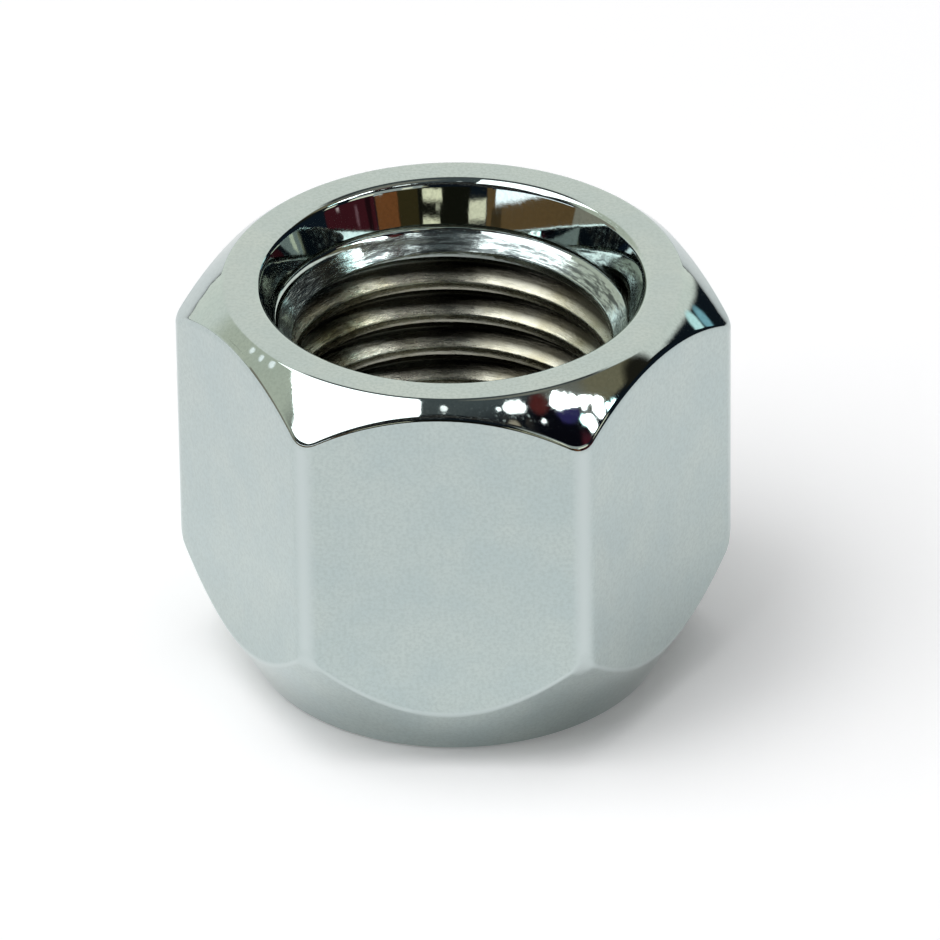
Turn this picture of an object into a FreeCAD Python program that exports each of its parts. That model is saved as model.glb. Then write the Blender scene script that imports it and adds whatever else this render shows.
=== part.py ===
import FreeCAD, Part

import math
import os

from FreeCAD import Vector

# Lug nut with an open bore and a conical seat.
# It is one forged and turned piece of steel: a hexagonal bar whose two ends are turned.
# Units are millimetres. The nut stands on its small seat end at the origin, with +Z up along
# the bore, and one wrench flat faces -Y.

# The hexagonal bar
ACROSS_FLATS = 19.0
OVERALL_HEIGHT = 16.5
CORNER_ROUNDING = 1.1
SIDES = 6

# The threaded hole. Its wall here is the plain hole that the thread is cut into.
THREAD_DIAMETER = 14.0
THREAD_PITCH = 1.5
# Depth of a full 60 degree internal thread, as a share of its pitch
THREAD_DEPTH_PER_PITCH = 5 * math.sqrt(3) / 16

# The wide end: a flat ring between the chamfered corners and the counterbore.
# The chamfer's angle is measured from that flat ring.
CHAMFER_ANGLE = 44.0
RIM_INSET = 0.63
RIM_ROUNDING = 0.15

# The counterbore in the wide end narrows towards the thread.
# Its taper and the countersink's angle are measured from the bore's axis.
COUNTERBORE_CLEARANCE = 0.1
COUNTERBORE_DEPTH = 1.9
COUNTERBORE_TAPER = 13.0
COUNTERBORE_ROOT_ROUNDING = 0.12
MOUTH_ROUNDING = 0.2
COUNTERSINK_ANGLE = 45.0

# The seat end: a cone that centres the nut in the wheel's stud hole, and the ring that it ends in
SEAT_INCLUDED_ANGLE = 60.0
SEAT_END_RING = 0.95
SEAT_END_ROUNDING = 0.4
LEAD_IN_CLEARANCE = 0.12
LEAD_IN_ANGLE = 45.0


def rise_per_radius(angle):
    """Return how far a cone rises for each millimetre of radius, at this angle from the axis."""
    return 1 / math.tan(math.radians(angle))


# Radii and heights that follow from the sizes above
FLAT_DISTANCE = ACROSS_FLATS / 2
CORNER_DISTANCE = FLAT_DISTANCE / math.cos(math.pi / SIDES)
THREAD_RADIUS = THREAD_DIAMETER / 2
HOLE_RADIUS = THREAD_RADIUS - THREAD_DEPTH_PER_PITCH * THREAD_PITCH

COUNTERBORE_FLOOR = OVERALL_HEIGHT - COUNTERBORE_DEPTH
COUNTERBORE_ROOT_RADIUS = THREAD_RADIUS + COUNTERBORE_CLEARANCE
MOUTH_RADIUS = COUNTERBORE_ROOT_RADIUS + COUNTERBORE_DEPTH / rise_per_radius(COUNTERBORE_TAPER)
COUNTERSINK_DEPTH = (COUNTERBORE_ROOT_RADIUS - HOLE_RADIUS) * rise_per_radius(COUNTERSINK_ANGLE)
HOLE_TOP = COUNTERBORE_FLOOR - COUNTERSINK_DEPTH

LEAD_IN_RADIUS = THREAD_RADIUS + LEAD_IN_CLEARANCE
HOLE_BOTTOM = (LEAD_IN_RADIUS - HOLE_RADIUS) * rise_per_radius(LEAD_IN_ANGLE)

# The seat cone and the chamfer, drawn on past the bar's corners, meet in one circle.
RIM_RADIUS = FLAT_DISTANCE - RIM_INSET
SEAT_END_RADIUS = LEAD_IN_RADIUS + SEAT_END_RING
SEAT_RISE = rise_per_radius(SEAT_INCLUDED_ANGLE / 2)
CHAMFER_FALL = math.tan(math.radians(CHAMFER_ANGLE))
MEETING_RADIUS = (OVERALL_HEIGHT + SEAT_END_RADIUS * SEAT_RISE + RIM_RADIUS * CHAMFER_FALL) / (
    SEAT_RISE + CHAMFER_FALL
)
MEETING_HEIGHT = (MEETING_RADIUS - SEAT_END_RADIUS) * SEAT_RISE


def rounded_corner(previous, corner, following, rounding):
    """Return the start, middle and end of the arc that rounds a corner between its neighbours."""
    to_previous = (previous - corner).normalize()
    to_following = (following - corner).normalize()
    half_angle = to_previous.getAngle(to_following) / 2
    reach = rounding / math.tan(half_angle)
    bisector = (to_previous + to_following).normalize()
    centre = corner + bisector * (rounding / math.sin(half_angle))
    return corner + to_previous * reach, centre - bisector * rounding, corner + to_following * reach


def turned_ring(section):
    """Revolve a closed half-section, given as the radius, height and rounding of each corner."""
    corners = [Vector(radius, 0, height) for radius, height, rounding in section]
    roundings = [rounding for radius, height, rounding in section]
    edges = []
    last_end = None
    for index in range(-1, len(corners)):
        corner = corners[index]
        following = corners[(index + 1) % len(corners)]
        start, middle, end = rounded_corner(corners[index - 1], corner, following, roundings[index])
        if last_end:
            edges.append(Part.makeLine(last_end, start))
            if roundings[index] > 0:
                edges.append(Part.Arc(start, middle, end).toShape())
        last_end = end
    return Part.Face(Part.Wire(edges)).revolve(Vector(0, 0, 0), Vector(0, 0, 1), 360)


def hexagonal_bar():
    """Return the upright bar, with rounded corners and a flat towards -Y."""
    corners = []
    for index in range(SIDES + 1):
        angle = math.pi / 2 + math.pi / SIDES * (2 * index + 1)
        corners.append(Vector(math.cos(angle), math.sin(angle), 0) * CORNER_DISTANCE)
    bar = Part.Face(Part.makePolygon(corners)).extrude(Vector(0, 0, OVERALL_HEIGHT))
    upright_edges = [edge for edge in bar.Edges if edge.BoundBox.ZLength > OVERALL_HEIGHT / 2]
    return bar.makeFillet(CORNER_ROUNDING, upright_edges)


def nut_half_section():
    """Return the nut's half-section as turned: radius, height and rounding of each corner."""
    half_ring = (RIM_RADIUS - MOUTH_RADIUS) / 2
    return [
        (HOLE_RADIUS, HOLE_BOTTOM, 0),
        (LEAD_IN_RADIUS, 0, 0),
        (SEAT_END_RADIUS, 0, min(SEAT_END_ROUNDING, SEAT_END_RING / 2)),
        (MEETING_RADIUS, MEETING_HEIGHT, 0),
        (RIM_RADIUS, OVERALL_HEIGHT, min(RIM_ROUNDING, half_ring)),
        (MOUTH_RADIUS, OVERALL_HEIGHT, min(MOUTH_ROUNDING, half_ring)),
        (COUNTERBORE_ROOT_RADIUS, COUNTERBORE_FLOOR, COUNTERBORE_ROOT_ROUNDING),
        (HOLE_RADIUS, HOLE_TOP, 0),
    ]


def lug_nut():
    """Return the nut, which is what the bar and the turned ring have in common.

    The seat cone and the chamfer meet the flats in the curves that turning leaves on a hexagon.
    """
    return hexagonal_bar().common(turned_ring(nut_half_section()))


nut = lug_nut()
os.makedirs("parts", exist_ok=True)
nut.exportStep("parts/lug_nut.step")
print("solids", len(nut.Solids), "valid", nut.isValid(), "volume", round(nut.Volume, 2))
print("hole radius", round(HOLE_RADIUS, 4), "from", round(HOLE_BOTTOM, 4), "to", round(HOLE_TOP, 4))
print("seat end ring", round(LEAD_IN_RADIUS, 3), "to", round(SEAT_END_RADIUS, 3))
print("rim ring", round(MOUTH_RADIUS, 3), "to", round(RIM_RADIUS, 3))
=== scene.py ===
import math

import bmesh
import bpy
from bpy.props import FloatProperty, FloatVectorProperty, PointerProperty
from bpy.types import Operator, Panel, PropertyGroup
from mathutils import Matrix, Vector


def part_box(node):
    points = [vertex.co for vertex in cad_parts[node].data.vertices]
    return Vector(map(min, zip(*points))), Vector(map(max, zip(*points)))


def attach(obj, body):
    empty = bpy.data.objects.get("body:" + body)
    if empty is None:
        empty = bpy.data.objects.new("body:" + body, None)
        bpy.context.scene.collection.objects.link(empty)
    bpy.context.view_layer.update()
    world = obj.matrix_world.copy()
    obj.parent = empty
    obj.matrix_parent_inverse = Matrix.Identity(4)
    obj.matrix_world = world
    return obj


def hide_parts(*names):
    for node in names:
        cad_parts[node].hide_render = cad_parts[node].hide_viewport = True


bl_info = {
    "name": "Lug Nut",
    "version": (1, 0, 0),
    "blender": (4, 5, 0),
    "location": "3D View > Sidebar > Lug Nut",
    "description": "Builds a chrome plated open-ended lug nut with a cut thread, and a studio to show it in",
    "category": "Object",
}

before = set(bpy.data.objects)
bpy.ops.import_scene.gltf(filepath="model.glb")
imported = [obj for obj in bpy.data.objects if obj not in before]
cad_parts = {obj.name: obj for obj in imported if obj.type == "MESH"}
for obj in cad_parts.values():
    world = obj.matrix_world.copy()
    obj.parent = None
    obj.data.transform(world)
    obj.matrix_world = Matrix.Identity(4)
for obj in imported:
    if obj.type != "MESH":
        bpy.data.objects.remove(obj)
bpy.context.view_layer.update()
NUT_LOW, NUT_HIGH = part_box("lug_nut")

MM = 0.001
UP = Vector((0, 0, 1))
SIDES = 6
IMAGE_PIXELS = 940
FLAT_STEPS, CORNER_STEPS, TURN_STEPS = 30, 14, 120
HOLD = 0.03 * MM  # How far a holding point stands from the end of a rounding.
SEAT_CORNER, CHAMFER_CORNER = 3, 4  # Their places in the half-section.
THREAD_DEPTH = 5 * math.sqrt(3) / 16  # Depth of a metric thread, as a share of its pitch.
FLANK_SLOPE = math.tan(math.radians(30))


def linear_colour(hex_value):
    """Turn an sRGB hex value such as 'BFCBCB' into the linear red, green and blue that nodes use."""
    channels = [int(hex_value[place:place + 2], 16) / 255 for place in (0, 2, 4)]
    return [c / 12.92 if c <= 0.04045 else ((c + 0.055) / 1.055) ** 2.4 for c in channels]


def length(name, description, millimetres, lowest=0):
    """A size in metres, with a default given in millimetres."""
    return FloatProperty(
        name=name, description=description, default=millimetres * MM, min=lowest, unit="LENGTH", precision=5
    )


def angle(name, description, degrees):
    """An angle that is shown in degrees."""
    return FloatProperty(name=name, description=description, default=math.radians(degrees), subtype="ANGLE")


def colour(name, description, hex_value):
    """A colour with a default given as an sRGB hex value."""
    return FloatVectorProperty(
        name=name,
        description=description,
        default=linear_colour(hex_value),
        size=3,
        min=0,
        max=1,
        subtype="COLOR",
    )


def strength(name, description, default):
    """A plain number for a light or an effect."""
    return FloatProperty(name=name, description=description, default=default, min=0)


def add_node(tree, kind, inputs=None, **settings):
    """Add a node, set its properties, and fill its inputs from values or from other nodes' sockets."""
    made = tree.nodes.new(kind)
    for name, value in settings.items():
        setattr(made, name, value)
    for name, value in (inputs or {}).items():
        if isinstance(value, bpy.types.NodeSocket):
            tree.links.new(value, made.inputs[name])
        else:
            made.inputs[name].default_value = value
    return made


def new_material(name):
    """Make an empty node material, and return it with its tree."""
    material = bpy.data.materials.new(name)
    material.use_nodes = True
    material.node_tree.nodes.clear()
    return material, material.node_tree


def per_length(size):
    """Return the texture scale that gives features of this size on coordinates in metres."""
    return 1 / size


def rgba(value):
    """Return a colour with its alpha."""
    return (*value, 1)


class NutSizes(PropertyGroup):
    """The nut's sizes. Those that set its box come from the frame."""

    across_flats: length("Across flats", "Width of the wrench hexagon", (NUT_HIGH.y - NUT_LOW.y) / MM)
    height: length("Height", "Overall height", NUT_HIGH.z / MM)
    corner_rounding: length("Corner rounding", "Radius of the hexagon's upright corners", 1.1)
    rim_inset: length("Rim inset", "How far the chamfer brings the rim in from the flats", 0.63)
    chamfer_angle: angle("Chamfer angle", "Fall of the chamfer from the rim to the farthest corner", 44)
    chamfer_crown: angle("Chamfer crown", "How much the crowned chamfer steepens from rim to corner", 10)
    chamfer_edge: length("Chamfer edge", "Rounding where the chamfer meets the flats", 0.46)
    rim_edge: length("Rim edge", "Rounding of the rim's outer edge", 0.34)
    mouth_edge: length("Mouth edge", "Rounding of the counterbore's mouth", 0.42)
    counterbore_depth: length("Counterbore depth", "Depth of the tapered counterbore", 1.9)
    counterbore_taper: angle("Counterbore taper", "Slope of the counterbore's wall from the axis", 13)
    counterbore_clearance: length("Counterbore clearance", "Room round the thread at its root", 0.1)
    counterbore_edge: length("Counterbore root", "Rounding at the counterbore's root", 0.12)
    bell_turn: angle("Bell turn", "How much the counterbore's wall steepens from its mouth downwards", 4)
    bell_draw: length("Bell draw", "How far the wall's bell shape draws its root in", 0.31)
    countersink_angle: angle("Countersink angle", "Slope from the axis of the cone above the thread", 45)
    thread_diameter: length("Thread diameter", "Major diameter of the thread", 14)
    thread_pitch: length("Thread pitch", "Height of one turn", 1.5)
    thread_start: angle("Thread start", "Angle at which the thread's groove starts", 170)
    crest_break: length("Crest break", "How far the thread's crests are eased", 0.05)
    seat_angle: angle("Seat angle", "Included angle of the conical seat", 60)
    seat_edge: length("Seat edge", "Rounding where the seat meets the flats", 0.5)
    seat_corner_edge: length("Seat corner edge", "Rounding where the seat meets the bar's corners", 2.4)
    seat_end_ring: length("Seat end ring", "Width of the flat ring that the nut stands on", 0.95)
    seat_end_edge: length("Seat end edge", "Rounding of the small end's outer edge", 0.4)
    lead_in_clearance: length("Lead-in clearance", "Room round the thread at the seat end", 0.12)
    lead_in_edge: length("Lead-in edge", "Rounding where the lead-in meets the seat end", 0.08)


class NutFinish(PropertyGroup):
    """The nut's colours."""

    plate: colour("Chrome plate", "Colour that the plated surfaces reflect", "B9C4C1")
    plate_shade: colour("Plate shade", "Faint second tone of the plate", "B3C0BF")
    # Painted highlight: a brighter plate colour laid along the rounded edges, where they catch the light.
    painted_edge_highlight: colour("Plate edges", "Colour of the thicker, brighter plate along the edges", "C1CBCA")
    plate_grain: colour("Plate grain", "Colour of the fine grain in the plate", "A6B2B0")
    streak: colour("Tool marks", "Colour of the grime in the countersink's tool marks", "20262A")
    thread_steel: colour("Thread steel", "Colour of the bare cut thread", "B2B2A5")
    # Painted shade: a dark colour laid in the thread's root, where the flank above shades it.
    painted_root_shade: colour("Grime", "Colour of the grime in the thread's root", "1C1A14")
    thread_oil: colour("Oil film", "Colour of the old oil in the grooves", "6B6338")


class StudioSettings(PropertyGroup):
    """Camera, floor and lamps."""

    azimuth: angle("Azimuth", "Camera's bearing round the nut from the front flat", 2.83)
    elevation: angle("Elevation", "Camera's height above the horizon", 32.1)
    roll: angle("Roll", "Camera's turn about its own line of sight", 0.72)
    distance: length("Distance", "From the camera to the centre of the wide end", 475)
    aim_right: length("Aim right", "How far right of the picture's centre the nut is", -0.591, lowest=-1)
    aim_up: length("Aim up", "How far above the picture's centre the wide end is", 7.42)
    focal_pixels: strength("Focal length in pixels", "Focal length for a picture of 940 pixels", 12262.5)
    floor: colour("Floor", "Colour of the floor", "FBFBFC")
    key_power: strength("Key lamp", "Radiance of the window lamp", 3.12)
    overhead_power: strength("Overhead lamp", "Radiance of the soft lamp overhead", 2.2)
    dome: strength("Dome", "Level of the faint light from all round", 0.02)
    floor_lift: strength("Floor lift", "Glow added to the floor as the camera and the metal see it", 0.16)


def rounded_corner(previous, corner, following, rounding, steps):
    """Return points on the arc that rounds a corner, with one holding point before and one after it."""
    to_previous = (previous - corner).normalized()
    to_following = (following - corner).normalized()
    half_angle = to_previous.angle(to_following) / 2
    reach = rounding / math.tan(half_angle)
    bisector = (to_previous + to_following).normalized()
    centre = corner + bisector * (rounding / math.sin(half_angle))
    start = corner + to_previous * reach - centre
    end = corner + to_following * reach - centre
    sweep = start.angle_signed(end)
    points = [corner + to_previous * (reach + HOLD)]
    for step in range(steps + 1):
        points.append(centre + Matrix.Rotation(-sweep * step / steps, 2) @ start)
    points.append(corner + to_following * (reach + HOLD))
    return points


def corner_reach(sizes):
    """Return how far the bar's rounded corners reach from the axis."""
    sharp = 1 / math.cos(math.pi / SIDES)
    return sizes.across_flats / 2 * sharp - sizes.corner_rounding * (sharp - 1)


def corner_share(sizes, reach):
    """Return 0 where the bar is flat, rising to 1 at the tip of its rounded corners."""
    apothem = sizes.across_flats / 2
    flat_end = Vector((apothem, (apothem - sizes.corner_rounding) * math.tan(math.pi / SIDES))).length
    return max(0, (reach - flat_end) / (corner_reach(sizes) - flat_end)) ** 2


def chamfer_height(sizes, radius):
    """Return the height of the crowned chamfer's surface at a radius."""
    rim = sizes.across_flats / 2 - sizes.rim_inset
    run = radius - rim
    start_slope = math.tan(sizes.chamfer_angle - sizes.chamfer_crown / 2)
    end_slope = math.tan(sizes.chamfer_angle + sizes.chamfer_crown / 2)
    steepening = (end_slope - start_slope) / (corner_reach(sizes) - rim)
    return sizes.height - start_slope * run - steepening / 2 * run**2


def hole_radius(sizes):
    """Return the radius of the hole that the thread is cut in."""
    return sizes.thread_diameter / 2 - THREAD_DEPTH * sizes.thread_pitch


def counterbore_root(sizes):
    """Return the radius and height at which the counterbore's wall meets the countersink."""
    straight_root = sizes.thread_diameter / 2 + sizes.counterbore_clearance
    return straight_root - sizes.bell_draw, sizes.height - sizes.counterbore_depth


def countersink_bottom(sizes):
    """Return the height at which the countersink meets the hole."""
    root, root_height = counterbore_root(sizes)
    return root_height - (root - hole_radius(sizes)) / math.tan(sizes.countersink_angle)


def bell_wall(sizes, mouth):
    """Return points down the counterbore's wall, which steepens from its mouth to its root like a bell."""
    root = counterbore_root(sizes)[0]
    deep = sizes.counterbore_depth
    start_slope = math.tan(math.atan((mouth - root) / deep) + sizes.bell_turn / 2)
    bend = 2 * (start_slope * deep - (mouth - root)) / deep**2
    points = []
    for tenths in range(2, 10):
        depth = deep * tenths / 10
        points.append(Vector((mouth - start_slope * depth + bend / 2 * depth**2, sizes.height - depth)))
    return points


def crowned_chamfer(sizes, reach, rim):
    """Return points up the crowned chamfer, from near the flats to near the rim."""
    points = []
    for share in (0.26, 0.42, 0.58, 0.74):
        radius = reach + (rim - reach) * share
        points.append(Vector((radius, chamfer_height(sizes, radius))))
    return points


def half_section(sizes, reach):
    """Return the nut's half-section at a bearing where the bar reaches this far from the axis.

    Each corner is a radius and a height, its rounding and the steps of that rounding.
    """
    hole = hole_radius(sizes)
    straight_root = sizes.thread_diameter / 2 + sizes.counterbore_clearance
    mouth = straight_root + sizes.counterbore_depth * math.tan(sizes.counterbore_taper)
    rim = sizes.across_flats / 2 - sizes.rim_inset
    lead_in = sizes.thread_diameter / 2 + sizes.lead_in_clearance
    seat_end = lead_in + sizes.seat_end_ring
    seat_top = (reach - seat_end) / math.tan(sizes.seat_angle / 2)
    seat_edge = sizes.seat_edge + (sizes.seat_corner_edge - sizes.seat_edge) * corner_share(sizes, reach)
    return [
        (Vector((hole, lead_in - hole)), 0, 0),
        (Vector((lead_in, 0)), sizes.lead_in_edge, 3),
        (Vector((seat_end, 0)), sizes.seat_end_edge, 8),
        (Vector((reach, seat_top)), seat_edge, 8),
        (Vector((reach, chamfer_height(sizes, reach))), sizes.chamfer_edge, 8),
        *((point, 0, 0) for point in crowned_chamfer(sizes, reach, rim)),
        (Vector((rim, sizes.height)), sizes.rim_edge, 6),
        (Vector((mouth, sizes.height)), sizes.mouth_edge, 8),
        *((point, 0, 0) for point in bell_wall(sizes, mouth)),
        (Vector(counterbore_root(sizes)), sizes.counterbore_edge, 4),
        (Vector((hole, countersink_bottom(sizes))), 0, 0),
    ]


def section_points(sizes, reach):
    """Return every point of the half-section at this reach, in order up the outside and down the bore.

    Each comes with its share of the painted edge highlight, a brighter plate colour laid on the seat's edge
    and the bar's corners.
    """
    corners = half_section(sizes, reach)
    on_corner = corner_share(sizes, reach)
    points = []
    for index, (corner, rounding, steps) in enumerate(corners):
        if steps == 0:
            points.append((corner, 0))
            continue
        previous = corners[index - 1][0]
        following = corners[(index + 1) % len(corners)][0]
        arc = rounded_corner(previous, corner, following, rounding, steps)
        for step, point in enumerate(arc):
            along = step / (len(arc) - 1)
            share = 0
            if index == SEAT_CORNER:
                share = max(math.sin(math.pi * along), on_corner * along)
            elif index == CHAMFER_CORNER:
                share = on_corner * max(0, 1 - 2 * along)
            points.append((point, share))
    return points


def draw_rounded_hexagon(bm, sizes):
    """Draw the bar's outline: one flat and one rounded corner, six times round."""
    centre_distance = sizes.across_flats / 2 - sizes.corner_rounding
    half_flat = centre_distance * math.tan(math.pi / SIDES)
    flat_start = Vector((-half_flat, -sizes.across_flats / 2, 0))
    corner_centre = Vector((half_flat, -centre_distance, 0))
    tip = bm.verts.new(flat_start)
    for side in range(SIDES):
        turn = Matrix.Rotation(2 * math.pi / SIDES * side, 3, "Z")
        step = turn @ Vector((2 * half_flat / FLAT_STEPS, 0, 0))
        flat = bmesh.ops.spin(bm, geom=[tip], axis=UP, dvec=step, angle=0, steps=FLAT_STEPS)
        tip = flat["geom_last"][0]
        corner = bmesh.ops.spin(
            bm, geom=[tip], cent=turn @ corner_centre, axis=UP, angle=2 * math.pi / SIDES, steps=CORNER_STEPS
        )
        tip = corner["geom_last"][0]
    bmesh.ops.remove_doubles(bm, verts=bm.verts, dist=0.001 * MM)


def place_ring(ring, column_layer, highlight_layer, sections, station):
    """Move one ring of vertices to its station of the half-section, each along its own bearing."""
    for vert in {vert for edge in ring for vert in edge.verts}:
        (radius, height), highlight_share = sections[vert[column_layer]][station]
        bearing = Vector((vert.co.x, vert.co.y)).normalized()
        vert.co = (bearing.x * radius, bearing.y * radius, height)
        vert[highlight_layer] = highlight_share


def model_plain_nut(bm, sizes):
    """Model the nut before its thread is cut: its outline is extruded round the whole half-section."""
    draw_rounded_hexagon(bm, sizes)
    column_layer = bm.verts.layers.int.new("column")
    # Each vertex keeps its share of the painted edge highlight.
    highlight_layer = bm.verts.layers.float.new("edge_highlight_share")
    sections = []
    for index, vert in enumerate(bm.verts):
        vert[column_layer] = index
        sections.append(section_points(sizes, vert.co.xy.length))
    first_ring = ring = list(bm.edges)
    place_ring(ring, column_layer, highlight_layer, sections, 0)
    for station in range(1, len(sections[0])):
        extruded = bmesh.ops.extrude_edge_only(bm, edges=ring)["geom"]
        ring = [item for item in extruded if isinstance(item, bmesh.types.BMEdge)]
        place_ring(ring, column_layer, highlight_layer, sections, station)
    bmesh.ops.bridge_loops(bm, edges=first_ring + ring)
    bmesh.ops.recalc_face_normals(bm, faces=bm.faces)


def model_thread_cutter(bm, sizes):
    """Model the helical bar that cuts the right-hand thread: one groove's section, spun upwards.

    The section runs from inside the hole, over the eased crests and down the flanks, to a rounded root.
    """
    major = sizes.thread_diameter / 2
    pitch = sizes.thread_pitch
    root_half = pitch / 16
    root_shoulder_half = 1.6 * root_half
    root_tip_half = 0.6 * root_half
    eased = hole_radius(sizes) + sizes.crest_break
    eased_half = root_half + (major - eased) * FLANK_SLOPE
    base = hole_radius(sizes) - sizes.crest_break
    base_half = eased_half + (eased - base) / FLANK_SLOPE
    upper_side = [
        (base, base_half),
        (eased, eased_half),
        (major - root_half * FLANK_SLOPE, root_shoulder_half),
        (major, root_tip_half),
    ]
    lower_side = [(radius, -half_width) for radius, half_width in reversed(upper_side)]
    turn = Matrix.Rotation(sizes.thread_start, 3, "Z")
    verts = [bm.verts.new(turn @ Vector((radius, 0, z - pitch))) for radius, z in upper_side + lower_side]
    edges = [bm.edges.new((verts[index - 1], vert)) for index, vert in enumerate(verts)]
    turns = math.ceil(sizes.height / pitch) + 1
    swept = bmesh.ops.spin(
        bm,
        geom=verts + edges,
        axis=UP,
        dvec=UP * pitch / TURN_STEPS,
        angle=2 * math.pi * turns,
        steps=TURN_STEPS * turns,
    )
    last_edges = [item for item in swept["geom_last"] if isinstance(item, bmesh.types.BMEdge)]
    bmesh.ops.contextual_create(bm, geom=edges)
    bmesh.ops.contextual_create(bm, geom=last_edges)
    bmesh.ops.recalc_face_normals(bm, faces=bm.faces)


def mesh_object(name, model, sizes):
    """Make an object from a modelling function that fills a bmesh."""
    bm = bmesh.new()
    model(bm, sizes)
    mesh = bpy.data.meshes.new(name)
    bm.to_mesh(mesh)
    bm.free()
    piece = bpy.data.objects.new(name, mesh)
    bpy.context.scene.collection.objects.link(piece)
    return piece


def mark_thread(mesh, sizes):
    """Leave the thread bare steel between the plated countersink and the plated lead-in."""
    top = countersink_bottom(sizes)
    bottom = sizes.thread_diameter / 2 + sizes.lead_in_clearance - hole_radius(sizes)
    for face in mesh.polygons:
        in_thread = face.center.xy.length < sizes.thread_diameter / 2 + 0.02 * MM
        if in_thread and bottom < face.center.z < top:
            face.material_index = 1


def cut(piece, cutter):
    """Cut one object out of another, and keep the result as the piece's own mesh."""
    modifier = piece.modifiers.new("Cut", "BOOLEAN")
    modifier.operation = "DIFFERENCE"
    modifier.solver = "EXACT"
    modifier.object = cutter
    depsgraph = bpy.context.evaluated_depsgraph_get()
    result = bpy.data.meshes.new_from_object(piece.evaluated_get(depsgraph))
    piece.modifiers.clear()
    plain = piece.data
    piece.data = result
    result.name = piece.name
    bpy.data.meshes.remove(plain)
    bpy.data.objects.remove(cutter)


def thread_place(tree, place, pitch):
    """Return the radius socket, and a place socket whose pattern is drawn out along the thread's helix."""
    drawn_out_length = 1.2 * MM  # For each radian round the bore, so marks run about six times their width.
    axes = add_node(tree, "ShaderNodeSeparateXYZ", {"Vector": place})
    bearing = add_node(
        tree, "ShaderNodeMath", {0: axes.outputs["Y"], 1: axes.outputs["X"]}, operation="ARCTAN2"
    )
    flat_place = add_node(tree, "ShaderNodeVectorMath", {0: place, 1: (1, 1, 0)}, operation="MULTIPLY")
    radius = add_node(tree, "ShaderNodeVectorMath", {0: flat_place.outputs["Vector"]}, operation="LENGTH")
    climb = add_node(
        tree,
        "ShaderNodeMath",
        {0: bearing.outputs["Value"], 1: -pitch / (2 * math.pi), 2: axes.outputs["Z"]},
        operation="MULTIPLY_ADD",
    )
    along = add_node(
        tree, "ShaderNodeMath", {0: bearing.outputs["Value"], 1: drawn_out_length}, operation="MULTIPLY"
    )
    drawn_out = add_node(
        tree,
        "ShaderNodeCombineXYZ",
        {"X": along.outputs["Value"], "Y": radius.outputs["Value"], "Z": climb.outputs["Value"]},
    )
    return radius.outputs["Value"], drawn_out.outputs["Vector"]


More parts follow.
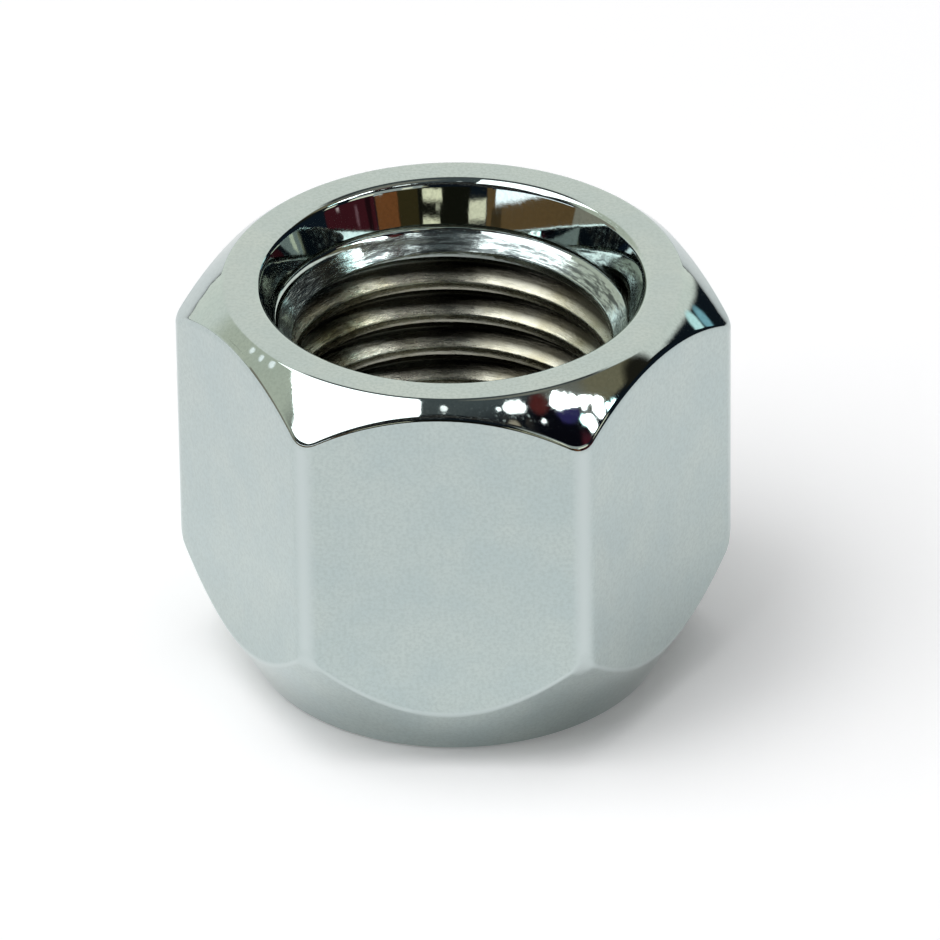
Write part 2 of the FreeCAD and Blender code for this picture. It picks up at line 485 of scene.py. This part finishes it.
def chrome_plate(finish, sizes):
    """Bright nickel-chrome plate on forged steel, barrel polished.

    The eye gets a cool mirror, a little clouded, over a surface that waves by microns and has a fine grain.
    In the countersink the tool's marks show through as dull rings with grime in them. The real grain and
    marks are about a hundredth of a millimetre, and are drawn coarser so that they show.
    """
    material, tree = new_material("bright_chrome_plate")
    place = add_node(tree, "ShaderNodeTexCoord").outputs["Object"]
    clouds = add_node(
        tree,
        "ShaderNodeTexNoise",
        {"Vector": place, "Scale": per_length(2.2 * MM), "Detail": 3, "Roughness": 0.55},
    )
    grain = add_node(
        tree,
        "ShaderNodeTexNoise",
        {"Vector": place, "Scale": per_length(0.14 * MM), "Detail": 2, "Roughness": 0.6},
    )
    waves = add_node(
        tree,
        "ShaderNodeTexNoise",
        {"Vector": place, "Scale": per_length(1.1 * MM), "Detail": 1, "Roughness": 0.4},
    )
    cloud_amount = add_node(
        tree, "ShaderNodeMapRange", {"Value": clouds.outputs["Fac"], "From Min": 0.35, "From Max": 0.65}
    )
    tone = add_node(
        tree,
        "ShaderNodeMix",
        {"Factor": cloud_amount.outputs["Result"], "A": rgba(finish.plate), "B": rgba(finish.plate_shade)},
        data_type="RGBA",
    )
    grain_amount = add_node(
        tree,
        "ShaderNodeMapRange",
        {"Value": grain.outputs["Fac"], "From Min": 0.4, "From Max": 0.65, "To Max": 0.5},
    )
    grained_tone = add_node(
        tree,
        "ShaderNodeMix",
        {
            "Factor": grain_amount.outputs["Result"],
            "A": tone.outputs["Result"],
            "B": rgba(finish.plate_grain),
        },
        data_type="RGBA",
    )
    # Painted highlight: the plate colour brightens along the rounded seat edge and bar corners.
    edge = add_node(tree, "ShaderNodeAttribute", attribute_name="edge_highlight_share")
    highlighted_tone = add_node(
        tree,
        "ShaderNodeMix",
        {"Factor": edge.outputs["Fac"], "A": grained_tone.outputs["Result"], "B": rgba(finish.painted_edge_highlight)},
        data_type="RGBA",
    )
    haze = add_node(
        tree,
        "ShaderNodeMapRange",
        {"Value": grain.outputs["Fac"], "From Min": 0.3, "From Max": 0.7, "To Min": 0.025, "To Max": 0.055},
    )
    wave_bump = add_node(
        tree, "ShaderNodeBump", {"Strength": 1.0, "Distance": 0.003 * MM, "Height": waves.outputs["Fac"]}
    )
    grain_bump = add_node(
        tree,
        "ShaderNodeBump",
        {
            "Strength": 1.0,
            "Distance": 0.0004 * MM,
            "Height": grain.outputs["Fac"],
            "Normal": wave_bump.outputs["Normal"],
        },
    )
    radius, along_helix = thread_place(tree, place, sizes.thread_pitch)
    root = counterbore_root(sizes)[0]
    in_countersink = add_node(
        tree,
        "ShaderNodeMapRange",
        {"Value": radius, "From Min": root + 0.09 * MM, "From Max": root + 0.01 * MM, "To Max": 0.25},
    )
    rings = add_node(
        tree,
        "ShaderNodeTexNoise",
        {"Vector": along_helix, "Scale": per_length(0.2 * MM), "Detail": 3, "Roughness": 0.7},
    )
    roughness = add_node(
        tree,
        "ShaderNodeMath",
        {0: in_countersink.outputs["Result"], 1: rings.outputs["Fac"], 2: haze.outputs["Result"]},
        operation="MULTIPLY_ADD",
    )
    grimy_rings = add_node(
        tree,
        "ShaderNodeMapRange",
        {
            "Value": rings.outputs["Fac"],
            "From Min": 0.44,
            "From Max": 0.6,
            "To Max": in_countersink.outputs["Result"],
        },
    )
    grime_share = add_node(
        tree,
        "ShaderNodeMath",
        {0: grimy_rings.outputs["Result"], 1: 3.2},
        operation="MULTIPLY",
        use_clamp=True,
    )
    ringed_tone = add_node(
        tree,
        "ShaderNodeMix",
        {
            "Factor": grime_share.outputs["Value"],
            "A": highlighted_tone.outputs["Result"],
            "B": rgba(finish.streak),
        },
        data_type="RGBA",
    )
    ring_bump = add_node(
        tree,
        "ShaderNodeBump",
        {
            "Strength": in_countersink.outputs["Result"],
            "Distance": 0.035 * MM,
            "Height": rings.outputs["Fac"],
            "Normal": grain_bump.outputs["Normal"],
        },
    )
    shader = add_node(
        tree,
        "ShaderNodeBsdfPrincipled",
        {
            "Base Color": ringed_tone.outputs["Result"],
            "Metallic": 1.0,
            "Roughness": roughness.outputs["Value"],
            "Normal": ring_bump.outputs["Normal"],
        },
    )
    add_node(tree, "ShaderNodeOutputMaterial", {"Surface": shader.outputs["BSDF"]})
    return material


def tapped_steel(finish, sizes):
    """Bare steel thread, cut with a tap and left with a film of old oil.

    The eye gets bright scratched flanks, with tool marks along the helix, and grooves that darken towards
    their root with painted shade. The plate fades into the first groove below the countersink. The marks are
    drawn coarser than the real ones, of about a hundredth of a millimetre, so that they show.
    """
    material, tree = new_material("tapped_bare_steel")
    place = add_node(tree, "ShaderNodeTexCoord").outputs["Object"]
    radius, along_helix = thread_place(tree, place, sizes.thread_pitch)
    stains = add_node(
        tree,
        "ShaderNodeTexNoise",
        {"Vector": place, "Scale": per_length(2.5 * MM), "Detail": 4, "Roughness": 0.6},
    )
    marks = add_node(
        tree,
        "ShaderNodeTexNoise",
        {"Vector": along_helix, "Scale": per_length(0.16 * MM), "Detail": 3, "Roughness": 0.7},
    )
    oil_amount = add_node(
        tree,
        "ShaderNodeMapRange",
        {"Value": stains.outputs["Fac"], "From Min": 0.4, "From Max": 0.7, "To Min": 0.05, "To Max": 0.8},
    )
    tone = add_node(
        tree,
        "ShaderNodeMix",
        {
            "Factor": oil_amount.outputs["Result"],
            "A": rgba(finish.thread_steel),
            "B": rgba(finish.thread_oil),
        },
        data_type="RGBA",
    )
    # Painted shade: the thread darkens towards its root, which the overhanging flank above shades.
    root_shade_amount = add_node(
        tree,
        "ShaderNodeMapRange",
        {
            "Value": radius,
            "From Min": hole_radius(sizes) + 0.11 * MM,
            "From Max": hole_radius(sizes) + 0.43 * MM,
            "To Max": 0.93,
        },
    )
    root_shaded_tone = add_node(
        tree,
        "ShaderNodeMix",
        {
            "Factor": root_shade_amount.outputs["Result"],
            "A": tone.outputs["Result"],
            "B": rgba(finish.painted_root_shade),
        },
        data_type="RGBA",
    )
    height = add_node(tree, "ShaderNodeSeparateXYZ", {"Vector": place})
    plated = add_node(
        tree,
        "ShaderNodeMapRange",
        {
            "Value": height.outputs["Z"],
            "From Min": countersink_bottom(sizes) - 0.9 * MM,
            "From Max": countersink_bottom(sizes) - 0.1 * MM,
        },
    )
    plated_tone = add_node(
        tree,
        "ShaderNodeMix",
        {"Factor": plated.outputs["Result"], "A": root_shaded_tone.outputs["Result"], "B": rgba(finish.plate)},
        data_type="RGBA",
    )
    dullness = add_node(
        tree, "ShaderNodeMapRange", {"Value": plated.outputs["Result"], "To Min": 0.36, "To Max": 0.2}
    )
    polish = add_node(
        tree,
        "ShaderNodeMapRange",
        {
            "Value": marks.outputs["Fac"],
            "From Min": 0.3,
            "From Max": 0.7,
            "To Min": 0.15,
            "To Max": dullness.outputs["Result"],
        },
    )
    mark_bump = add_node(
        tree, "ShaderNodeBump", {"Strength": 1.0, "Distance": 0.012 * MM, "Height": marks.outputs["Fac"]}
    )
    shader = add_node(
        tree,
        "ShaderNodeBsdfPrincipled",
        {
            "Base Color": plated_tone.outputs["Result"],
            "Metallic": 1.0,
            "Roughness": polish.outputs["Result"],
            "Normal": mark_bump.outputs["Normal"],
        },
    )
    add_node(tree, "ShaderNodeOutputMaterial", {"Surface": shader.outputs["BSDF"]})
    return material


class NUT_OT_build(Operator):
    """Build the plated nut with its thread, in place of the plain solid"""

    bl_idname = "lug_nut.build_nut"
    bl_label = "Build Nut"

    def execute(self, context):
        sizes = context.scene.lug_nut_sizes
        finish = context.scene.lug_nut_finish
        nut = mesh_object("plated_nut", model_plain_nut, sizes)
        cut(nut, mesh_object("thread_cutter", model_thread_cutter, sizes))
        nut.data.materials.clear()
        nut.data.materials.append(chrome_plate(finish, sizes))
        nut.data.materials.append(tapped_steel(finish, sizes))
        nut.data.polygons.foreach_set("material_index", [0] * len(nut.data.polygons))
        mark_thread(nut.data, sizes)
        nut.data.shade_smooth()
        nut.data.set_sharp_from_angle(angle=math.radians(32))
        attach(nut, "root")
        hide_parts("lug_nut")
        return {"FINISHED"}


def ray_kinds(tree):
    """Return two sockets: 1 for what the camera sees straight, and 1 for what metal or glass shows it."""
    path = add_node(tree, "ShaderNodeLightPath")
    mirror_ray = add_node(
        tree,
        "ShaderNodeMath",
        {0: path.outputs["Is Glossy Ray"], 1: path.outputs["Is Transmission Ray"]},
        operation="MAXIMUM",
    )
    return path.outputs["Is Camera Ray"], mirror_ray.outputs["Value"]


def pale_floor_paper(studio):
    """Matt white paper, smooth and unprinted.

    The eye gets an even white that keeps the nut's soft shadow, with a faint glow so the shadow stays pale.
    """
    material, tree = new_material("matt_white_paper")
    place = add_node(tree, "ShaderNodeTexCoord").outputs["Object"]
    fibres = add_node(
        tree,
        "ShaderNodeTexNoise",
        {"Vector": place, "Scale": per_length(0.6 * MM), "Detail": 2, "Roughness": 0.5},
    )
    fibre_bump = add_node(
        tree, "ShaderNodeBump", {"Strength": 0.2, "Distance": 0.005 * MM, "Height": fibres.outputs["Fac"]}
    )
    paper = add_node(
        tree, "ShaderNodeBsdfDiffuse", {"Color": rgba(studio.floor), "Normal": fibre_bump.outputs["Normal"]}
    )
    camera_ray, mirror_ray = ray_kinds(tree)
    seen_ray = add_node(tree, "ShaderNodeMath", {0: camera_ray, 1: mirror_ray}, operation="MAXIMUM")
    lift = add_node(
        tree, "ShaderNodeMath", {0: seen_ray.outputs["Value"], 1: studio.floor_lift}, operation="MULTIPLY"
    )
    glowing = add_node(tree, "ShaderNodeEmission", {"Strength": lift.outputs["Value"]})
    lifted = add_node(tree, "ShaderNodeAddShader", {0: paper.outputs["BSDF"], 1: glowing.outputs["Emission"]})
    add_node(tree, "ShaderNodeOutputMaterial", {"Surface": lifted.outputs["Shader"]})
    return material


# What the metal mirrors is a dim studio with cards and lamps set round it. Angles are in degrees:
# a bearing from the front to the right, and a rise above the floor. A colour's level is 1 for plain white.

# Round cards: bearing, rise, radius of the even middle, radius of the soft edge, colour, level.
ROUND_CARDS = (
    # A large pale screen at the left, and dull warm screens at the right and overhead.
    (-104.5, 27, 18, 32, "DDDFCE", 1),
    (90, 56.5, 10, 18, "817E76", 1),
    (95.5, 43, 9, 14, "8B8169", 1),
    (90, 75.5, 8, 15, "959086", 1),
    # The dark half of the studio, low on the right, with a strip of cool light at its edge.
    (59, -47, 92.5, 94.1, "161D24", 1),
    (137, 12.5, 1.7, 3.4, "D9FFFF", 1.3),
    (141, 8, 1.2, 3.2, "95CBDA", 1),
    # Black cards at the right, with small wine red and violet cards on them.
    (59.5, 49.5, 7, 10, "0D0D14", 1),
    (66.5, 43.5, 4, 6, "0D0D14", 1),
    (58.5, 58.5, 1.8, 4, "652D2B", 1),
    (68, 51.5, 3, 4.5, "352F65", 1),
    (66, 42, 1.5, 3, "59212C", 1),
    # Round lamps: four small ones high in front, then the bright row at the right.
    (-5, 66.5, 0.8, 1.3, "FFFFFF", 2),
    (34.5, 63.5, 0.6, 1.1, "FFFFFF", 3),
    (43, 62.5, 2.3, 2.7, "FFFFFF", 3),
    (47, 61.5, 2.3, 2.7, "FFFFFF", 3),
    (68, 55, 2.4, 2.8, "FFFFFF", 8),
    (71, 53.5, 2.1, 2.5, "FFFFFF", 8),
    (74.5, 51.5, 1.9, 2.3, "FFFFFF", 8),
    (78, 49.5, 1.7, 2.1, "FFFFFF", 8),
    (80.5, 48, 1.1, 1.5, "FFFFFF", 8),
    (82.5, 45.5, 1.5, 1.9, "FFFFFF", 8),
    (80.5, 45, 1.8, 2.2, "FFFFFF", 8),
    (79, 44.5, 1.5, 1.9, "FFFFFF", 8),
    (84, 42, 1.2, 1.6, "DCFFFF", 7),
    (87, 41, 1.1, 1.5, "DCFFFF", 7),
    (72.5, 45, 1.7, 2.1, "FFFFFF", 8),
    (71, 46, 1.4, 1.8, "DCFFFF", 7),
    (54, 53.5, 0.8, 1.1, "FFFFFF", 3),
    (75.5, 48, 0.6, 0.9, "FFFFFF", 3),
    # A linen card high in front, and a dark one at the far right.
    (37.5, 56.5, 1.3, 2.4, "BCAD99", 1),
    (104, 33.5, 6, 10, "27241D", 1),
    # Three small lamps at the left, and a straw coloured card low in front.
    (-114, 31, 0.7, 1.2, "FFFFFF", 1.6),
    (-109, 34.5, 0.7, 1.2, "FFFFFF", 1.6),
    (-104, 38, 0.8, 1.4, "FFFFFF", 1.6),
    (27.5, 26.5, 6, 11, "DAD1B3", 1),
)

# Upright cards, which the counterbore's wall shows: bearing, rise, half width, half height, colour, level.
UPRIGHT_CARDS = (
    # Navy and wine red at the right, with two thin pale rods and a dark fold.
    (98, 5, 18, 12, "161F29", 1),
    (64, 5, 16, 12, "4B1D24", 1),
    (71, 9, 0.8, 1.2, "E7CBCB", 1),
    (60, 8, 0.6, 1.6, "896169", 1),
    (52, 8, 1.5, 8, "271216", 1),
    # Amber, olive and black towards the front, with a small silver card on the amber and cream strips.
    (40.5, 5, 6.5, 12, "86522F", 1),
    (28, 5, 6, 12, "3F361F", 1),
    (45.5, 15.3, 2.7, 2.2, "E1E7E5", 1),
    (7, 5, 15, 12, "191912", 1),
    (14, 14, 5.5, 1.1, "FFF6D3", 1.3),
    (15, 9.2, 5, 0.7, "FFF6D3", 1.3),
    (11, 11.8, 1.2, 0.6, "CBC4AA", 1),
    # A wide brown card at the left, a white lamp and a cream strip above it, a stone grey card beyond.
    (-48, 5, 30, 12, "73593A", 1),
    (-24, 9, 3, 2, "4B3C27", 1),
    (-47, 16.4, 26, 2, "192435", 1),
    (-47, 13, 24, 1.5, "F5FAFF", 2.2),
    (-12.5, 11, 5, 1.7, "FFF5D5", 1.2),
    (-88, 5, 16, 12, "9E9789", 1),
    # A grey card and three warm lamps above, which the wall shows after a second reflection.
    (42, 30, 22, 10, "BCBFBC", 1),
    (79, 27, 4, 4, "FFF7DE", 1.5),
    (57, 25, 8, 4, "FFF7DE", 1.5),
    (29, 27, 3, 4, "FFF7DE", 1.5),
)


def glow(hex_value, level):
    """Return the colour, with its alpha, of something that glows at this level."""
    return rgba([channel * level for channel in linear_colour(hex_value)])


def lay_over(tree, share, below, shade):
    """Lay a shade over the room as far as the share socket says."""
    laid = add_node(tree, "ShaderNodeMix", {"Factor": share, "A": below, "B": shade}, data_type="RGBA")
    return laid.outputs["Result"]


def round_share(tree, direction, bearing, rise, middle, edge):
    """Return a socket that is 1 on a round card and falls to 0 across its soft edge."""
    bearing, rise = math.radians(bearing), math.radians(rise)
    centre = (math.cos(rise) * math.sin(bearing), -math.cos(rise) * math.cos(bearing), math.sin(rise))
    nearness = add_node(tree, "ShaderNodeVectorMath", {0: direction, 1: centre}, operation="DOT_PRODUCT")
    share = add_node(
        tree,
        "ShaderNodeMapRange",
        {
            "Value": nearness.outputs["Value"],
            "From Min": math.cos(math.radians(edge)),
            "From Max": math.cos(math.radians(middle)),
        },
        interpolation_type="SMOOTHSTEP",
    )
    return share.outputs["Result"]


def upright_share(tree, bearing_socket, rise_socket, bearing, rise, half_width, half_height):
    """Return a socket that is 1 on an upright card and 0 beside it."""
    half_edge = 0.4
    shares = []
    for socket, middle, half in ((bearing_socket, bearing, half_width), (rise_socket, rise, half_height)):
        away = add_node(tree, "ShaderNodeMath", {0: socket, 1: math.radians(middle)}, operation="SUBTRACT")
        distance = add_node(tree, "ShaderNodeMath", {0: away.outputs["Value"]}, operation="ABSOLUTE")
        share = add_node(
            tree,
            "ShaderNodeMapRange",
            {
                "Value": distance.outputs["Value"],
                "From Min": math.radians(half + half_edge),
                "From Max": math.radians(half - half_edge),
            },
        )
        shares.append(share.outputs["Result"])
    both = add_node(tree, "ShaderNodeMath", {0: shares[0], 1: shares[1]}, operation="MULTIPLY")
    return both.outputs["Value"]


def dim_studio(tree, direction):
    """Return the colour of the dim studio before its cards: dark clutter with pale specks."""
    clutter = add_node(
        tree, "ShaderNodeTexNoise", {"Vector": direction, "Scale": 9.0, "Detail": 3, "Roughness": 0.6}
    )
    clutter_share = add_node(
        tree, "ShaderNodeMapRange", {"Value": clutter.outputs["Fac"], "From Min": 0.45, "From Max": 0.68}
    )
    specks = add_node(
        tree, "ShaderNodeTexNoise", {"Vector": direction, "Scale": 55.0, "Detail": 1, "Roughness": 0.5}
    )
    speck_share = add_node(
        tree, "ShaderNodeMapRange", {"Value": specks.outputs["Fac"], "From Min": 0.66, "From Max": 0.72}
    )
    cluttered = lay_over(tree, clutter_share.outputs["Result"], glow("16191F", 1), glow("4B453F", 1))
    return lay_over(tree, speck_share.outputs["Result"], cluttered, glow("E1E7E5", 1))


def ceiling_and_back_wall(tree, axes, below):
    """Lay the grey ceiling and the bright back wall, which the flat ring shows, over the dim studio."""
    on_ceiling = add_node(
        tree,
        "ShaderNodeMapRange",
        {"Value": axes.outputs["Z"], "From Min": 0.84, "From Max": 0.93},
        interpolation_type="SMOOTHSTEP",
    )
    behind = add_node(
        tree,
        "ShaderNodeMapRange",
        {"Value": axes.outputs["Y"], "From Min": 0.20, "From Max": 0.34},
        interpolation_type="SMOOTHSTEP",
    )
    below_ceiling = add_node(
        tree,
        "ShaderNodeMapRange",
        {"Value": axes.outputs["Z"], "From Min": 0.86, "From Max": 0.80},
        interpolation_type="SMOOTHSTEP",
    )
    on_wall = add_node(
        tree,
        "ShaderNodeMath",
        {0: behind.outputs["Result"], 1: below_ceiling.outputs["Result"]},
        operation="MULTIPLY",
    )
    up_wall = add_node(
        tree, "ShaderNodeMapRange", {"Value": axes.outputs["Z"], "From Min": 0.1, "From Max": 0.5}
    )
    wall = lay_over(tree, up_wall.outputs["Result"], glow("FDFFF6", 1.02), glow("FFFDF6", 1.06))
    ceiled = lay_over(tree, on_ceiling.outputs["Result"], below, glow("595F61", 1))
    return lay_over(tree, on_wall.outputs["Value"], ceiled, wall)


def build_room(scene, studio):
    """Give the world a white surround for the camera, the studio for the metal, and a faint even light."""
    world = bpy.data.worlds.new("studio")
    scene.world = world
    world.use_nodes = True
    tree = world.node_tree
    tree.nodes.clear()
    direction = add_node(tree, "ShaderNodeTexCoord").outputs["Generated"]
    axes = add_node(tree, "ShaderNodeSeparateXYZ", {"Vector": direction})
    view = ceiling_and_back_wall(tree, axes, dim_studio(tree, direction))
    for *place, colour_value, level in ROUND_CARDS:
        view = lay_over(tree, round_share(tree, direction, *place), view, glow(colour_value, level))
    ahead = add_node(tree, "ShaderNodeMath", {0: axes.outputs["Y"], 1: -1.0}, operation="MULTIPLY")
    bearing = add_node(
        tree, "ShaderNodeMath", {0: axes.outputs["X"], 1: ahead.outputs["Value"]}, operation="ARCTAN2"
    ).outputs["Value"]
    rise = add_node(tree, "ShaderNodeMath", {0: axes.outputs["Z"]}, operation="ARCSINE").outputs["Value"]
    for *place, colour_value, level in UPRIGHT_CARDS:
        view = lay_over(tree, upright_share(tree, bearing, rise, *place), view, glow(colour_value, level))
    camera_ray, mirror_ray = ray_kinds(tree)
    mirrored = add_node(tree, "ShaderNodeBackground", {"Color": view, "Strength": 1.0})
    dome = add_node(tree, "ShaderNodeBackground", {"Color": rgba((1, 1, 1)), "Strength": studio.dome})
    surround = add_node(tree, "ShaderNodeBackground", {"Color": rgba((1, 1, 1)), "Strength": 1.0})
    lit = add_node(
        tree,
        "ShaderNodeMixShader",
        {0: mirror_ray, 1: dome.outputs["Background"], 2: mirrored.outputs["Background"]},
    )
    seen = add_node(
        tree,
        "ShaderNodeMixShader",
        {0: camera_ray, 1: lit.outputs["Shader"], 2: surround.outputs["Background"]},
    )
    add_node(tree, "ShaderNodeOutputWorld", {"Surface": seen.outputs["Shader"]})


def lay_floor(studio):
    """Lay the paper floor under the nut."""
    half_side = 3
    bm = bmesh.new()
    bmesh.ops.create_grid(bm, x_segments=1, y_segments=1, size=half_side)
    mesh = bpy.data.meshes.new("paper_floor")
    bm.to_mesh(mesh)
    bm.free()
    mesh.materials.append(pale_floor_paper(studio))
    floor = bpy.data.objects.new("paper_floor", mesh)
    bpy.context.scene.collection.objects.link(floor)


def hang_lamp(name, direction, along, distance, size, radiance):
    """Hang a white rectangular lamp in a direction from the nut, facing it, its first side along a line."""
    lamp = bpy.data.lights.new(name, "AREA")
    lamp.shape = "RECTANGLE"
    lamp.size, lamp.size_y = size
    lamp.energy = radiance * math.pi * size[0] * size[1]
    hung = bpy.data.objects.new(name, lamp)
    towards = Vector(direction).normalized()
    hung.location = towards * distance
    side = (Vector(along) - Vector(along).project(towards)).normalized()
    hung.rotation_euler = Matrix((side, towards.cross(side), towards)).transposed().to_euler()
    hung.visible_camera = False
    bpy.context.scene.collection.objects.link(hung)
    return hung


def place_camera(scene, sizes, studio):
    """Place the long-lens camera so that the wide end's centre has its place in the picture."""
    bearing, rise = studio.azimuth, studio.elevation
    right = Vector((math.cos(bearing), math.sin(bearing), 0))
    back = Vector((math.sin(bearing) * math.cos(rise), -math.cos(bearing) * math.cos(rise), math.sin(rise)))
    up = back.cross(right)
    wide_end = Vector((0, 0, sizes.height))
    place = wide_end - right * studio.aim_right - up * studio.aim_up + back * studio.distance
    camera = bpy.data.cameras.new("long_lens")
    camera.sensor_width = 36
    camera.lens = studio.focal_pixels / IMAGE_PIXELS * camera.sensor_width
    camera.clip_start = 0.01
    camera.clip_end = 20
    held = bpy.data.objects.new("long_lens", camera)
    axes = Matrix((right, up, back)).transposed().to_4x4()
    held.matrix_world = Matrix.Translation(place) @ axes @ Matrix.Rotation(-studio.roll, 4, "Z")
    scene.collection.objects.link(held)
    scene.camera = held


class NUT_OT_stage(Operator):
    """Set the floor, the room, the lamps and the camera"""

    bl_idname = "lug_nut.build_stage"
    bl_label = "Build Stage"

    def execute(self, context):
        scene = context.scene
        studio = scene.lug_nut_studio
        lay_floor(studio)
        build_room(scene, studio)
        hang_lamp(
            "window",
            direction=(-0.47, -0.20, 0.86),
            along=(-0.1, -0.98, -0.16),
            distance=1.2,
            size=(1.1, 0.86),
            radiance=studio.key_power,
        )
        overhead = hang_lamp(
            "overhead",
            direction=(0, 0, 1),
            along=(1, 0, 0),
            distance=1.3,
            size=(1.2, 1.0),
            radiance=studio.overhead_power,
        )
        overhead.visible_glossy = False
        place_camera(scene, scene.lug_nut_sizes, studio)
        scene.view_settings.view_transform = "Standard"
        return {"FINISHED"}


class NUT_PT_panel(Panel):
    """Lists the nut's sizes, its colours and the studio"""

    bl_label = "Lug Nut"
    bl_idname = "NUT_PT_panel"
    bl_space_type = "VIEW_3D"
    bl_region_type = "UI"
    bl_category = "Lug Nut"

    def draw(self, context):
        scene = context.scene
        for group in (scene.lug_nut_sizes, scene.lug_nut_finish, scene.lug_nut_studio):
            box = self.layout.box()
            for name in group.__annotations__:
                box.prop(group, name)
        self.layout.operator(NUT_OT_build.bl_idname)
        self.layout.operator(NUT_OT_stage.bl_idname)


CLASSES = [NutSizes, NutFinish, StudioSettings, NUT_OT_build, NUT_OT_stage, NUT_PT_panel]


def register():
    for item in CLASSES:
        bpy.utils.register_class(item)
    bpy.types.Scene.lug_nut_sizes = PointerProperty(type=NutSizes)
    bpy.types.Scene.lug_nut_finish = PointerProperty(type=NutFinish)
    bpy.types.Scene.lug_nut_studio = PointerProperty(type=StudioSettings)


def unregister():
    del bpy.types.Scene.lug_nut_sizes
    del bpy.types.Scene.lug_nut_finish
    del bpy.types.Scene.lug_nut_studio
    for item in reversed(CLASSES):
        bpy.utils.unregister_class(item)


def main():
    register()
    bpy.ops.lug_nut.build_nut()
    bpy.ops.lug_nut.build_stage()


if __name__ == "__main__":
    main()
